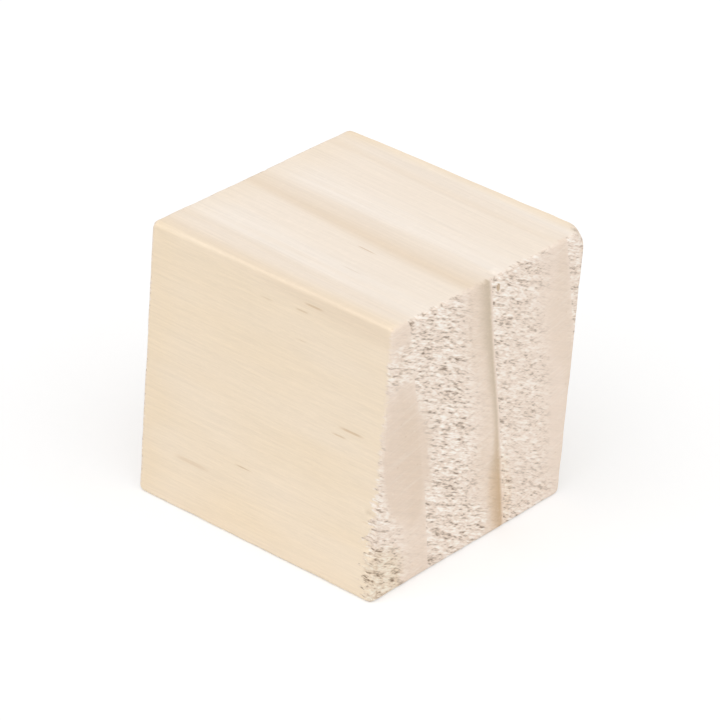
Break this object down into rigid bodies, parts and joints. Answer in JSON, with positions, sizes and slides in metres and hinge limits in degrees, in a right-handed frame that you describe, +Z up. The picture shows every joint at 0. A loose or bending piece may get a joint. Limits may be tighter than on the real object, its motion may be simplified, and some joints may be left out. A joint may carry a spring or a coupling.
{
  "type": "wooden cube",
  "caption": "Bare pine cube with eased edges, for crafts, counting, stacking and bench packing; the grain runs along one axis between two sawn end-grain faces.",
  "frame": {"origin": "centre of the face that the cube rests on", "axes": "+X along the grain towards the end-grain face with the knocked corner, +Y across the grain, +Z up from the resting face to the top face"},
  "size_m": [0.025, 0.025, 0.025],
  "materials": {
    "bare_pine": "unfinished sawn and tumbled pine, matt, pale cream with faint tan growth rings"
  },
  "bodies": {
    "root": {"wooden_cube": "bare_pine"}
  },
  "joints": []
}
